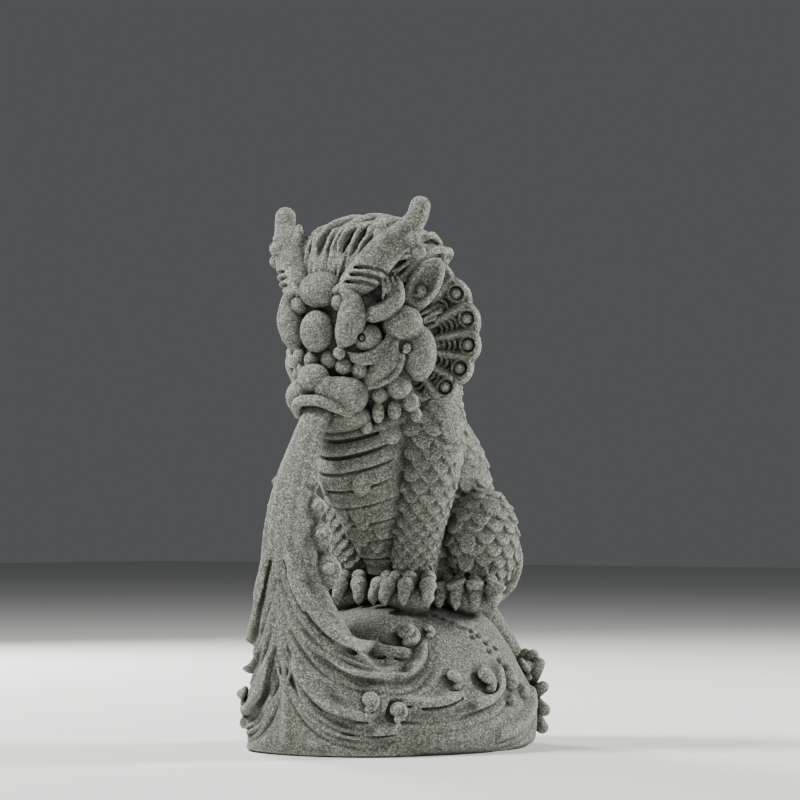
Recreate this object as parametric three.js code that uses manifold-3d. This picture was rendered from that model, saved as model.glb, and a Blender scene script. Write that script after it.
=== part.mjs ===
// A mythical beast that sits on a breaking wave and spouts the water it sits on, cast in one piece
// from crushed stone: a dragon's horns, a lion's muzzle, a ruff of ribbed fins and a coat of scales.
// Millimetres, +Z up. The beast faces -Y, its left side is +X, and the origin is the middle of the flat foot.
import * as THREE from 'three';
import { mergeVertices } from 'three/addons/utils/BufferGeometryUtils.js';
import Module from 'manifold-3d';

const wasm = await Module();
wasm.setup();

// Driving dimensions
const FOOT_WIDTH = 65;
const FOOT_DEPTH = 83;
const FOOT_EDGE = 2.5;
const MOUND_WIDTH = 70;
const MOUND_DEPTH = 88;
const SEAT_HEIGHT = 39.3;
const MOUTH_HEIGHT = 93;
const SPOUT_REACH = 48.5;
const PLATES = 7;
const PLATE_STEP = 0.7;
const TOE_SIZE = 2;
const RUFF_RIM = 20.8;
const SIDES = [1, -1];

// Small sums
const at = (x, y, z) => new THREE.Vector3(x, y, z);
const radians = (degrees) => (degrees * Math.PI) / 180;
const mix = (a, b, t) => a + (b - a) * t;

// The value at a share t along an evenly spaced list of numbers.
function along(list, t) {
  const place = t * (list.length - 1);
  const i = Math.min(list.length - 2, Math.floor(place));
  return mix(list[i], list[i + 1], place - i);
}

// A closed three.js geometry as a solid: its doubled vertices are merged and its empty triangles dropped.
function solid(geometry) {
  geometry.deleteAttribute('normal');
  geometry.deleteAttribute('uv');
  const merged = mergeVertices(geometry, 1e-4);
  const triVerts = [];
  for (let i = 0; i < merged.index.count; i += 3) {
    const [a, b, c] = [0, 1, 2].map((k) => merged.index.getX(i + k));
    if (a !== b && b !== c && c !== a) triVerts.push(a, b, c);
  }
  return new wasm.Manifold(new wasm.Mesh({
    numProp: 3,
    vertProperties: merged.attributes.position.array,
    triVerts: new Uint32Array(triVerts),
  }));
}

// Moves every vertex of a geometry to where place(vertex) says.
function reshape(geometry, place) {
  const position = geometry.attributes.position;
  const vertex = new THREE.Vector3();
  for (let i = 0; i < position.count; i++) {
    const moved = place(vertex.fromBufferAttribute(position, i));
    position.setXYZ(i, moved.x, moved.y, moved.z);
  }
  return geometry;
}

// An egg with three radii.
function ball(centre, radii, sides = 7, rings = 5) {
  const geometry = new THREE.SphereGeometry(1, sides, rings).rotateX(Math.PI / 2);
  return solid(geometry.scale(...radii).translate(...centre));
}

// A rod with round ends along a smooth curve, with a radius for each of its points.
// flat squeezes its section in the plane that is square to the direction across.
function rod(points, radii, sides = 5, rings = 5, { flat = 1, across = [0, 0, 1] } = {}) {
  const path = new THREE.CatmullRomCurve3(points.map((p) => at(...p)));
  const length = path.getLength();
  const profile = Array.from({ length: rings + 1 }, (_, i) => {
    const t = (1 - Math.cos((Math.PI * i) / rings)) / 2;
    const radius = along(radii, t);
    const toEnd = Math.min(1, (Math.min(t, 1 - t) * length) / Math.max(radius, 0.1));
    return new THREE.Vector2(i % rings ? radius * Math.sqrt(1 - (1 - toEnd) ** 2) : 0, t);
  });
  return solid(reshape(new THREE.LatheGeometry(profile, sides), (vertex) => {
    const t = THREE.MathUtils.clamp(vertex.y, 0, 1);
    const tangent = path.getTangent(t);
    const side = tangent.clone().cross(at(...across)).normalize();
    const lift = side.clone().cross(tangent);
    return path.getPoint(t).addScaledVector(side, vertex.x).addScaledVector(lift, vertex.z * flat);
  }));
}

// A stack of flat ellipses, each with a height z, a middle y, and a half width and half depth.
function stack(levels, sides) {
  const geometry = new THREE.CylinderGeometry(1, 1, 1, sides, levels.length - 1).rotateX(Math.PI / 2);
  return solid(reshape(geometry, (vertex) => {
    const level = levels[Math.round((vertex.z + 0.5) * (levels.length - 1))];
    return at(vertex.x * level.wide, level.y + vertex.y * level.deep, level.z);
  }));
}

// A curl of water seen from its side: a round roll with a knob in its eye. It faces along the direction facing.
function curl(centre, facing, radius, sides = 5) {
  const profile = [[0, -0.7], [1, -0.1], [0.8, 0.5], [0.45, -0.05], [0, 0.5]];
  const geometry = new THREE.LatheGeometry(profile.map(([r, y]) => new THREE.Vector2(r, y)), sides);
  const spin = new THREE.Quaternion().setFromUnitVectors(at(0, 1, 0), at(...facing).normalize());
  return solid(geometry.scale(radius, radius, radius).applyQuaternion(spin).translate(...centre));
}

// The mound of the wave: it is broad at the foot, where its edge is rounded, and small where the beast sits.
const MOUND = [
  { z: 0, y: -1, wide: FOOT_WIDTH / 2, deep: FOOT_DEPTH / 2 },
  { z: FOOT_EDGE, y: -1, wide: MOUND_WIDTH / 2, deep: MOUND_DEPTH / 2 },
  { z: 12, y: -1, wide: MOUND_WIDTH / 2, deep: MOUND_DEPTH / 2 },
  { z: 22, y: -0.5, wide: 30.4, deep: 39.4 },
  { z: 33, y: 3, wide: 22.5, deep: 28.5 },
  { z: 37, y: 4, wide: 17.5, deep: 22 },
  { z: SEAT_HEIGHT, y: 5, wide: 11, deep: 14 },
];

// The sheet of water that falls from the mouth and spreads into the front of the mound.
const SPOUT = [
  { z: 0, y: -28, wide: 25, deep: 14.5 },
  { z: FOOT_EDGE, y: -29, wide: 26, deep: 16 },
  { z: 18, y: -33, wide: 23, deep: 12.5 },
  { z: 31, y: -39, wide: 16.5, deep: 8.5 },
  { z: 46, y: -43.5, wide: 10.5, deep: SPOUT_REACH - 43.5 },
  { z: 60, y: -44, wide: 7.4, deep: SPOUT_REACH - 44 },
  { z: 73, y: -41.5, wide: 5.8, deep: 3.9 },
  { z: 82, y: -38, wide: 4.6, deep: 3.2 },
  { z: MOUTH_HEIGHT, y: -32, wide: 4.2, deep: 3.2 },
];

// How far out the surface of a stack is at a height, from an upright axis through the middle of the mound.
function reachOf(levels, angle, height) {
  const i = levels.findIndex((level) => level.z >= height);
  if (i < 0) return 0;
  const t = i ? (height - levels[i - 1].z) / (levels[i].z - levels[i - 1].z) : 1;
  const [y, wide, deep] = ['y', 'wide', 'deep'].map((key) => mix(levels[Math.max(0, i - 1)][key], levels[i][key], t));
  const a = (Math.sin(angle) / wide) ** 2 + (Math.cos(angle) / deep) ** 2;
  const b = (y * Math.cos(angle)) / deep ** 2;
  const c = (y / deep) ** 2 - 1;
  return b * b < a * c ? 0 : (Math.sqrt(b * b - a * c) - b) / a;
}

// A point on the water by degrees round from the front towards the beast's left, and by height.
function onWater(degrees, height, proud = 0) {
  const angle = radians(degrees);
  const reach = Math.max(reachOf(MOUND, angle, height), reachOf(SPOUT, angle, height)) + proud;
  return at(reach * Math.sin(angle), -reach * Math.cos(angle), height);
}

// The waves: each is a lip that sweeps back from the falling water along its route, as degrees and heights,
// and rolls up into a curl at its end. Curls without a lip break straight out of the water.
const LIPS = [
  { route: [[8, 46], [14, 37.5], [23, 30.5], [36, 28]], thick: 1.9 },
  { route: [[8, 40], [18, 27], [32, 22.4], [51, 25]], thick: 1.9 },
  { route: [[5, 27], [9, 20], [18, 13.4], [32, 11]], thick: 1.7 },
  { route: [[44, 12], [65, 12.4], [84, 14.6], [103, 21]], thick: 2 },
];
const CURLS = [
  { degrees: 45, height: 31.3, radius: 4.4 },
  { degrees: 32, height: 14.4, radius: 3.4 },
  { degrees: 66, height: 19.4, radius: 3.4 },
  { degrees: 88, height: 20, radius: 4.2 },
  { degrees: 114, height: 16, radius: 3.4 },
];

function waves(s) {
  const mirror = (v) => [v.x * s, v.y, v.z];
  const lips = LIPS.map(({ route, thick }) =>
    rod(route.map(([degrees, height]) => mirror(onWater(degrees, height, 0.4))), [0.6, thick, thick, 0.8 * thick], 4, 4));
  const curls = CURLS.map(({ degrees, height, radius }) => {
    const middle = onWater(degrees, height, 0.5);
    const up = onWater(degrees, height + 1).sub(onWater(degrees, height - 1));
    const round = onWater(degrees + 3, height).sub(onWater(degrees - 3, height));
    return curl(mirror(middle), mirror(round.cross(up)), radius);
  });
  return [...lips, ...curls];
}

// The crests on each edge of the falling water.
function crests(s) {
  return [[5, -40.6, 68, 2.4], [7, -40.4, 58, 3.2], [9.6, -39, 48.6, 4]].map(([x, y, z, radius]) =>
    ball([x * s, y, z], [radius, radius * 0.8, radius * 1.2], 5, 4));
}

// The belly: plates that overlap downwards, from the throat to the stone between the forelegs.
function belly() {
  const [top, bottom] = [91, 43];
  const edges = Array.from({ length: PLATES }, (_, i) => [[i, 0], [i + 0.94, PLATE_STEP]]).flat();
  const levels = edges.map(([i, step]) => {
    const t = i / PLATES;
    const radius = along([12.6, 12.6, 12.2, 11.6, 10.4, 8.4, 6.6], t) + step;
    return { z: mix(top, bottom, t), y: along([-8, -13.6, -14.4, -13, -10.4, -6.5, -3], t), wide: radius, deep: radius };
  });
  return stack(levels.reverse(), 8);
}

function trunk() {
  const back = rod(
    [[0, 3, 97], [0, 9, 84], [0, 14, 74], [0, 15.5, 62], [0, 14, 48], [0, 12, 36]],
    [13, 14.5, 16.5, 17.5, 17, 14], 9, 6, { across: [0, 1, 0] });
  const spine = [0, 1, 2].map((i) => {
    const [y, z] = [21.6 + 4.6 * i, 87 - 9 * i];
    return rod([[0, y - 3, z], [0, y + 1.6, z + 1], [0, y + 2.6, z + 4.4]], [2.6, 2.2, 0.6], 4, 4, { across: [1, 0, 0] });
  });
  return [belly(), back, ...spine];
}

// A toe: a row of knuckles that bends down into a claw.
function toe(root, ahead) {
  const forward = at(...ahead).normalize().multiplyScalar(TOE_SIZE);
  const points = [[-1.2, 0.3], [0.3, 0.4], [1.5, -0.4], [1.9, -1.7], [1.6, -3.2]].map(([out, up]) =>
    [root[0] + forward.x * out, root[1] + forward.y * out, root[2] + TOE_SIZE * up]);
  return rod(points, [1.1, 1.4, 1.2, 0.9, 0.2].map((r) => r * TOE_SIZE), 4, 4, { across: [forward.y, -forward.x, 0] });
}

function foreleg(s) {
  const shoulder = ball([10.5 * s, -0.5, 85.5], [10, 12, 12], 8, 5);
  const leg = rod(
    [[12.8 * s, -2, 86], [13 * s, -3.6, 74], [12.8 * s, -5.4, 61], [12 * s, -7, 50], [11.6 * s, -7.5, 37]],
    [9, 9, 7, 5.7, 8.5], 7, 5, { across: [0, 1, 0] });
  const toes = [[4.6, -11], [9.2, -12.6], [14, -12], [18.4, -9]].map(([x, y]) =>
    toe([x * s, y, 42.6], [(x - 12) * s, -9, 0]));
  return [shoulder, leg, ...toes];
}

function hindleg(s) {
  const thigh = ball([18 * s, 14.5, 56.5], [9, 11.5, 14.5], 8, 6);
  const foot = ball([19 * s, 10, 41.5], [8, 9, 5], 6, 4);
  const toes = [[14.5, 3.6], [18.8, 3.6], [22.8, 5.6], [26, 8.6]].map(([x, y]) =>
    toe([x * s, y, 41.8], [(x - 15) * s, -9, 0]));
  const tufts = [0, 1].map((i) =>
    rod([[(22 - 3 * i) * s, 20 + 3 * i, 62 - 3 * i], [(22 - 3 * i) * s, 23 + 2 * i, 51], [(19 - 2 * i) * s, 22 + i, 39]],
      [2.5, 3, 0.8], 4, 4, { across: [0, 1, 0] }));
  return [thigh, foot, ...toes, ...tufts];
}

// The head: skull, brow and muzzle.
const head = () => [
  ball([0, -9, 115], [19.5, 21, 24], 8, 5),
  ball([0, -11.5, 129.5], [19, 19.8, 17.6], 9, 6),
  ball([0, -24, 110], [13, 9.6, 15], 6, 5),
  ball([0, -31.6, 124.2], [7.6, 6, 5.6], 8, 5),
  ball([0, -31.6, 113.2], [6.6, 6, 6.3], 8, 5),
];

function muzzle() {
  const halves = SIDES.flatMap((s) => [
    rod([[2.4 * s, -34.6, 97.6], [7.3 * s, -30, 96], [10.4 * s, -26, 95.4]], [3.2, 6.3, 6], 6, 5),
    ball([4.3 * s, -34, 100.6], [2.4, 2.8, 2.6], 5, 4),
  ]);
  return [
    ball([0, -35.6, 100.2], [4, 3.4, 3.8], 7, 4),
    ball([0, -26.5, 91], [10.5, 8, 5.2], 8, 5),
    rod([[-7.6, -33, 91], [-4, -36.4, 93.8], [4, -36.4, 93.8], [8.4, -33, 91.4]], [1.4, 1.8, 1.8, 1.4], 4, 5),
    ...halves,
  ];
}

// One side of the face: the eye between its brow and lid, the cheeks, the whisker and the drops of the beard.
function face(s) {
  const X = (points) => points.map(([x, y, z]) => [x * s, y, z]);
  const egg = (x, y, z, r, sides = 5, rings = 4, stretch = 1) => ball([x * s, y, z], [r, r, r * stretch], sides, rings);
  return [
    egg(11.6, -27.4, 111.2, 4, 6, 4),
    rod(X([[8.6, -30.6, 106.4], [13.4, -28, 106.6], [16.4, -24, 110.6], [16.2, -23.4, 114]]), [1, 1.1, 1.1, 1], 4, 4),
    rod(X([[8.4, -31, 121.6], [9.8, -31.4, 115], [8.6, -31.8, 110], [7, -31.8, 107]]), [1.8, 3.9, 3.5, 1.2], 5, 4),
    rod(X([[10.5, -28, 117.6], [14.6, -25.6, 118.6], [18, -23, 121.4], [18.6, -22.4, 126]]), [2, 2.7, 2.7, 1.8], 4, 4),
    egg(18, -20.4, 115.6, 5.9, 6, 4),
    egg(19.2, -16, 108, 6.1, 6, 4, 1.25),
    egg(16, -18.6, 98.4, 5.4, 6, 4, 1.1),
    egg(11.2, -28, 103.4, 2.7),
    rod(X([[16.8, -21.6, 110], [16, -23.2, 105.2], [12.6, -25.4, 99.6]]), [1.2, 3.6, 1.6], 5, 4),
    egg(13, -22.4, 91.8, 2.2, 5, 4, 1.4),
    egg(18, -14.8, 93, 2, 5, 4, 1.6),
    rod(X([[19.4, -17.8, 120.2], [21.8, -15.2, 125.4], [23.8, -11.8, 131.8]]), [2, 3.6, 0.5], 4, 4, { flat: 0.6, across: [0.64 * s, -0.77, 0] }),
  ];
}

// A horn: it sweeps up and out from a stump over the brow to a blunt tip, with knobs and short tines on it.
function horn(s) {
  const X = (points) => points.map(([x, y, z]) => [x * s, y, z]);
  const tines = [
    [[15.6, -25, 134], [14.8, -24.4, 142], 2.3],
    [[18, -26, 135], [18.4, -29.6, 136.6], 2.4],
    [[21, -23, 133.6], [27, -22, 134.4], 2.3],
  ];
  return [
    rod(X([[10.5, -29, 124], [12.6, -27.4, 128], [16.4, -25.4, 134], [20.4, -23, 138.2], [23.6, -19.8, 143], [24.2, -19.4, 148.6]]),
      [4, 4.8, 4.6, 3.6, 2.7, 2.5], 6, 7, { across: [0, 1, 0.2] }),
    ...tines.map(([root, tip, r]) => rod(X([root, tip]), [r, r * 0.5], 4, 3, { across: [0, 1, 0.1] })),
  ];
}

// Locks of hair: they're combed back from the brow over the skull, and from the temples round to its back.
function hair(s) {
  const crown = [2.6, 9].map((x, i) =>
    rod(
      [[x * s, -28, 128 - i], [x * s, -23.5, 139 - i], [1.1 * x * s, -11, 145.6 - 2 * i], [1.2 * x * s, 3, 141 - 3 * i]],
      [2, 3.4, 3.8, 2], 4, 4));
  const temple = [0, 1].map((i) =>
    rod(
      [[(15 + 2 * i) * s, -20, 131 - 3 * i], [(17 + i) * s, -11, 137 - 3 * i], [(16 + i) * s, 0, 137 - 4 * i], [11 * s, 7, 133 - 6 * i]],
      [1.8, 3.2, 3.6, 1.8], 4, 4));
  return [...crown, ...temple];
}

// The ruff: behind each cheek a pleated fan that faces out and forward. Its pleats are PLEAT degrees apart,
// and its rim rolls over into a bead in each valley between them.
const RUFF = { x: 10.4, y: -13.5, z: 109.8, facing: 40, from: -90, to: 70 };
const PLEAT = 20;
const ROLLS = [60, 40, 20, 0, -20, -40];
const rimAt = (degrees) => RUFF_RIM + 3 * Math.sin(radians(degrees));

function ruff(s) {
  const out = at(Math.cos(radians(RUFF.facing)) * s, Math.sin(radians(RUFF.facing)), 0);
  const ahead = at(Math.sin(radians(RUFF.facing)) * s, -Math.cos(radians(RUFF.facing)), 0);
  const place = (degrees, reach, proud) => at(RUFF.x * s, RUFF.y, RUFF.z)
    .addScaledVector(out, reach * Math.cos(radians(degrees)))
    .addScaledVector(at(0, 0, 1), reach * Math.sin(radians(degrees)))
    .addScaledVector(ahead, proud);
  const profile = [[0, -6], [1, -4], [1, 0], [0.35, 0], [0, 0]].map(([r, y]) => new THREE.Vector2(r, y));
  const fan = solid(reshape(new THREE.LatheGeometry(profile, 720 / PLEAT), (vertex) => {
    const turn = THREE.MathUtils.radToDeg(Math.atan2(-vertex.z * s, vertex.x));
    const degrees = THREE.MathUtils.clamp(turn, RUFF.from, RUFF.to);
    const share = Math.hypot(vertex.x, vertex.z);
    const isPleat = Math.round((degrees - RUFF.from) / (PLEAT / 2)) % 2 === 0;
    const proud = vertex.y < 0 ? vertex.y : share * (isPleat ? 1.4 : -2);
    return place(degrees, share * rimAt(degrees) * (isPleat ? 1.04 : 0.97), proud);
  }));
  const rolls = ROLLS.map((degrees) => ball(place(degrees, rimAt(degrees), 0).toArray(), [3, 3, 3], 4, 4));
  return [fan, ...rolls];
}

// The tail comes down over the back of the mound and ends on the beast's left in a fish's fin of two lobes.
function tail() {
  return [
    rod([[0, 24, 46], [3, 31, 36], [9, 36, 26], [15, 37, 17]], [7, 6, 4.4, 3.4], 5, 4, { across: [1, 0, 0] }),
    rod([[13, 35, 18], [18, 34, 22], [22.5, 32.5, 26]], [2.5, 3.4, 2.8], 5, 4, { across: [1, 0.8, 0], flat: 0.6 }),
    rod([[14, 37, 18], [22, 35, 16], [25.5, 34.5, 8]], [2.5, 2.8, 2.4], 5, 4, { across: [1, 0.8, 0], flat: 0.6 }),
  ];
}

const oneSide = (s) => [foreleg, hindleg, face, horn, hair, ruff, waves, crests].flatMap((part) => part(s));
const forms = [
  stack(MOUND, 14), stack(SPOUT, 10), ...trunk(), ...head(), ...muzzle(), ...tail(), ...SIDES.flatMap(oneSide),
];

// All the forms as one solid, without the sealed pockets that are left between them.
const joined = forms.reduce((whole, next) => whole.add(next));
const figure = joined.decompose().sort((a, b) => b.volume() - a.volume())[0];

function meshOf(shape, name, material) {
  const { numProp, vertProperties, triVerts } = shape.getMesh();
  const buffer = new THREE.InterleavedBuffer(vertProperties, numProp);
  const geometry = new THREE.BufferGeometry();
  geometry.setAttribute('position', new THREE.InterleavedBufferAttribute(buffer, 3, 0));
  geometry.setIndex(new THREE.BufferAttribute(triVerts, 1));
  const mesh = new THREE.Mesh(geometry, material);
  mesh.name = name;
  return mesh;
}

const stone = new THREE.MeshStandardMaterial({ color: '#8f938a', roughness: 0.95, metalness: 0 });
const group = new THREE.Group();
group.add(meshOf(figure, 'beast_figure', stone));

export default group;
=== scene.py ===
# %% [markdown]
# # A mythical beast on a breaking wave
#
# This lesson models a small cast sandstone ornament the way a sculptor works: a rough body is built
# up from simple lumps of clay, the lumps are pressed together, and finer and finer detail is laid on
# top. The clay is a field of distances on a grid, so that every lump melts into its neighbours, and
# at the end the surface of the clay becomes one mesh.

# %%
import math

import bpy
import numpy as np
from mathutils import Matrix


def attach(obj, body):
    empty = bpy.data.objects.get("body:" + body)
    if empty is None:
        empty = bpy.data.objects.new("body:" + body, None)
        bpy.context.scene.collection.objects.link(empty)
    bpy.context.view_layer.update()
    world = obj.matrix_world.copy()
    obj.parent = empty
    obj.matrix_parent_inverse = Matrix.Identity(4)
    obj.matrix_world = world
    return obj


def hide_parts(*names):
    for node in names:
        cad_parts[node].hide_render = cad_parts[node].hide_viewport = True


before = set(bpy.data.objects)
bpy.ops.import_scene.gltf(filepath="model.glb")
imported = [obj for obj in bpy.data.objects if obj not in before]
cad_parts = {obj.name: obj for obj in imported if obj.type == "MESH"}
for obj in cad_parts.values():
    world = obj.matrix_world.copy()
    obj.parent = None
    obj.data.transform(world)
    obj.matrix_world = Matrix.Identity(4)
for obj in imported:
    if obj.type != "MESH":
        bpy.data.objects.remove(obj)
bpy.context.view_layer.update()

import openvdb
from mathutils import Vector

# %% [markdown]
# ## The clay
#
# The clay is a box of points, VOXEL millimetres apart. Each point holds its distance to the surface
# in millimetres: negative inside the clay, positive outside. Laying on a lump takes the smaller of
# two distances, cutting takes the larger, and a soft minimum rounds the joint by a chosen blend.

# %%
VOXEL = 0.36
FAR = 6.0
LOW = np.array([-39.0, -52.0, -1.2])
HIGH = np.array([39.0, 46.0, 151.0])
SHAPE = tuple(int(n) for n in np.ceil((HIGH - LOW) / VOXEL)) 
clay = np.full(SHAPE, FAR, dtype=np.float32)
grid_lines = [LOW[k] + VOXEL * np.arange(SHAPE[k]) for k in range(3)]


def window(low, high):
    """The slices of the clay between two corners, and the x, y and z of its points there."""
    parts = []
    for k in range(3):
        first = max(0, int((low[k] - LOW[k]) / VOXEL))
        last = min(SHAPE[k], int((high[k] - LOW[k]) / VOXEL) + 2)
        parts.append(slice(first, max(first, last)))
    x, y, z = [grid_lines[k][parts[k]].astype(np.float32) for k in range(3)]
    return tuple(parts), x[:, None, None], y[None, :, None], z[None, None, :]


def soft_min(a, b, blend):
    """The smaller of two fields, rounded where they are within a blend of each other."""
    share = np.clip(0.5 + 0.5 * (a - b) / max(blend, 0.01), 0, 1)
    return a + (b - a) * share - blend * share * (1 - share)


def lay(low, high, distance, blend=0.5, cut=False):
    """Lays a form on the clay, or cuts it out. distance gives the form's field at x, y, z."""
    margin = blend + 1.2
    place, x, y, z = window(np.subtract(low, margin), np.add(high, margin))
    form = np.asarray(distance(x, y, z), dtype=np.float32)
    if cut:
        clay[place] = -soft_min(-clay[place], form, blend)
    else:
        clay[place] = soft_min(clay[place], form, blend)


print("the clay has", f"{clay.size / 1e6:.1f} million points")

# %% [markdown]
# ## Three kinds of lump
#
# An egg has three radii and can be turned. A rod follows a smooth curve and has a radius at each of
# its points; it can be flattened like a ribbon. A curl is a rod wound into a spiral with a ball in
# its eye. Most forms come in pairs, one on each side, so every lump has a mirrored twin unless it
# says otherwise.


# %%
SIDES = (1, -1)


def mirrored(point, side):
    """The point on the beast's left (side 1) or on its right (side -1)."""
    return np.array([point[0] * side, point[1], point[2]], dtype=float)


def egg_field(centre, radii, axes=None):
    """The distance field of an egg. axes holds its three directions as rows."""
    centre, radii = np.asarray(centre, float), np.asarray(radii, float)
    axes = np.eye(3) if axes is None else np.asarray(axes, float)

    def distance(x, y, z):
        p = [x - centre[0], y - centre[1], z - centre[2]]
        q = [sum(float(axes[i][k]) * p[k] for k in range(3)) / radii[i] for i in range(3)]
        near = np.sqrt(q[0] ** 2 + q[1] ** 2 + q[2] ** 2) + 1e-6
        slope = np.sqrt(sum((q[i] / radii[i]) ** 2 for i in range(3))) + 1e-6
        return near * (near - 1) / slope

    return distance


def egg(centre, radii, axes=None, blend=0.5, sides=SIDES, cut=False):
    """An egg, and its mirrored twin."""
    radii = np.atleast_1d(radii).astype(float)
    radii = np.repeat(radii, 3) if len(radii) == 1 else radii
    reach = radii if axes is None else np.full(3, radii.max())
    for side in sides:
        middle = mirrored(centre, side)
        turned = None if axes is None else [mirrored(axis, side) for axis in axes]
        lay(middle - reach, middle + reach, egg_field(middle, radii, turned), blend, cut)


def smooth_path(points, steps):
    """Points along a Catmull-Rom curve through the given points, and their share along it."""
    points = np.asarray(points, float)
    ends = [2 * points[0] - points[1], *points, 2 * points[-1] - points[-2]]
    shares = np.linspace(0, len(points) - 1, steps + 1)
    path = []
    for share in shares:
        i = min(int(share), len(points) - 2)
        t = share - i
        a, b, c, d = ends[i : i + 4]
        path.append(0.5 * (2 * b + (c - a) * t + (2 * a - 5 * b + 4 * c - d) * t**2 + (3 * b - a - 3 * c + d) * t**3))
    return np.array(path), shares / (len(points) - 1)


def along(values, shares):
    """The values, spread evenly along a path, at the given shares of it."""
    return np.interp(shares, np.linspace(0, 1, len(values)), values)


def rod_field(nodes, sizes, flat, squeeze):
    """The distance field of a chain of tapered links, squeezed to a share flat along a direction."""

    def distance(x, y, z):
        best = np.full((x.size, y.size, z.size), FAR, dtype=np.float32)
        for a, b, ra, rb in zip(nodes[:-1], nodes[1:], sizes[:-1], sizes[1:]):
            reach = max(ra, rb) + 2.5
            ends = zip((x, y, z), np.minimum(a, b) - reach, np.maximum(a, b) + reach)
            part = tuple(slice(*np.searchsorted(line.ravel(), (low, high))) for line, low, high in ends)
            ex, ey, ez = x[part[0]] - a[0], y[:, part[1]] - a[1], z[:, :, part[2]] - a[2]
            d = (b - a).astype(np.float32)
            t = np.clip((ex * d[0] + ey * d[1] + ez * d[2]) / max(float(d @ d), 1e-6), 0, 1)
            ex, ey, ez = ex - t * d[0], ey - t * d[1], ez - t * d[2]
            length2 = ex**2 + ey**2 + ez**2
            if squeeze is not None:
                length2 = length2 + (1 / flat**2 - 1) * (ex * squeeze[0] + ey * squeeze[1] + ez * squeeze[2]) ** 2
            field = np.sqrt(length2) - (ra + (rb - ra) * t)
            best[part] = np.minimum(best[part], field if squeeze is None else field * (0.4 + 0.6 * flat))
        return best

    return distance


def rod(points, radii, blend=0.5, steps=None, flat=1.0, across=None, sides=SIDES, cut=False):
    """A rod along a smooth curve, and its mirrored twin. flat is its share of thickness along across."""
    path, shares = smooth_path(points, steps or 4 * (len(points) - 1))
    sizes = along(radii, shares)
    for side in sides:
        nodes = path * [side, 1, 1]
        squeeze = None if across is None else mirrored(unit(across), side).astype(np.float32)
        low, high = (nodes - sizes[:, None]).min(0), (nodes + sizes[:, None]).max(0)
        lay(low, high, rod_field(nodes, sizes, flat, squeeze), blend, cut)


def stack(levels, blend=1.0):
    """Flat ellipses stacked into one form: each has a height, a middle y, a half width and a half depth."""
    path, _ = smooth_path(levels, 8 * (len(levels) - 1))
    heights, middles, widths, depths = path.T
    leans = np.gradient(widths, heights)

    def distance(x, y, z):
        middle, wide, deep, lean = [np.interp(z, heights, v) for v in (middles, widths, depths, leans)]
        u, v = x / wide, (y - middle) / deep
        near = np.sqrt(u**2 + v**2) + 1e-6
        slope = np.sqrt((u / wide) ** 2 + (v / deep) ** 2) + 1e-6
        sheet = near * (near - 1) / slope / np.sqrt(1 + lean**2)
        return np.maximum(sheet, np.maximum(heights[0] - z, z - heights[-1]))

    low = [-widths.max(), (middles - depths).min(), heights[0]]
    high = [widths.max(), (middles + depths).max(), heights[-1]]
    lay(low, high, distance, blend)


def unit(v):
    """The vector at length 1."""
    v = np.asarray(v, float)
    return v / np.linalg.norm(v)


def curl(centre, start, facing, radius, turns=1.3, thick=0.3, hand=1, proud=0.3, blend=0.25, sides=SIDES, eye=1.3, dish=0.0):
    """A spiral that winds in to a ball. It starts in the direction start from its centre, and is seen
    from the direction facing, where hand 1 winds anticlockwise and -1 clockwise. A dish is first
    cut around it, as a share of its radius."""
    facing = unit(facing)
    start = unit(np.asarray(start, float) - np.dot(start, facing) * facing)
    round_ = hand * np.cross(facing, start)
    if dish:
        egg(centre, [1.12 * radius, 1.12 * radius, dish * radius], axes=[start, round_, facing], blend=0.4, sides=sides, cut=True)
    t = np.linspace(0, 1, int(9 * turns) + 4)
    angle = 2 * math.pi * turns * t
    reach = radius * (1 - thick) * (1 - 0.86 * t)
    path = (
        np.asarray(centre, float)
        + reach[:, None] * (np.cos(angle)[:, None] * start + np.sin(angle)[:, None] * round_)
        + (proud * radius * t**1.5)[:, None] * facing
    )
    rod(path, radius * thick * np.interp(t, [0, 1], [1, 0.7]), blend, steps=2 * len(t), sides=sides)
    egg(path[-1], eye * radius * thick, blend=0.1, sides=sides)


def probe(points, field=clay, step=VOXEL):
    """The value of a field at any points, sampled between the points of its grid."""
    p = np.clip((np.asarray(points, float) - LOW) / step, 0, np.array(field.shape) - 1.001)
    i = p.astype(int)
    f = p - i
    total = 0
    for dx, dy, dz in np.ndindex(2, 2, 2):
        weight = abs(1 - dx - f[:, 0]) * abs(1 - dy - f[:, 1]) * abs(1 - dz - f[:, 2])
        total = total + weight * field[i[:, 0] + dx, i[:, 1] + dy, i[:, 2] + dz]
    return total


def normals_at(points, width=0.6):
    """The outward directions of the clay's surface at points on it."""
    steps = width * np.eye(3)
    slopes = np.stack([probe(points + step) - probe(points - step) for step in steps], axis=1)
    return slopes / (np.linalg.norm(slopes, axis=1, keepdims=True) + 1e-9)


def surface(origins, directions, reach=60.0, step=0.25):
    """The first places where rays cross the clay's surface, from inside or from outside."""
    origins, directions = np.atleast_2d(origins).astype(float), np.atleast_2d(directions).astype(float)
    directions = directions / np.linalg.norm(directions, axis=1, keepdims=True)
    values = np.array([probe(origins + s * directions) for s in np.arange(0, reach, step)])
    crossed = np.sign(values) != np.sign(values[0])
    first = np.where(crossed.any(axis=0), np.argmax(crossed, axis=0), 1)
    rows = np.arange(len(directions))
    a, b = values[first - 1, rows], values[first, rows]
    share = np.clip(a / np.where(np.abs(a - b) < 1e-6, 1, a - b), 0, 1)
    return origins + ((first - 1 + share) * step)[:, None] * directions


def onto(centre, points, proud=0.0):
    """The points moved along rays from a centre inside the clay to its surface, and a little proud of it."""
    hits = surface(np.repeat([centre], len(points), axis=0), np.asarray(points, float) - centre)
    return hits + proud * normals_at(hits)

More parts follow.
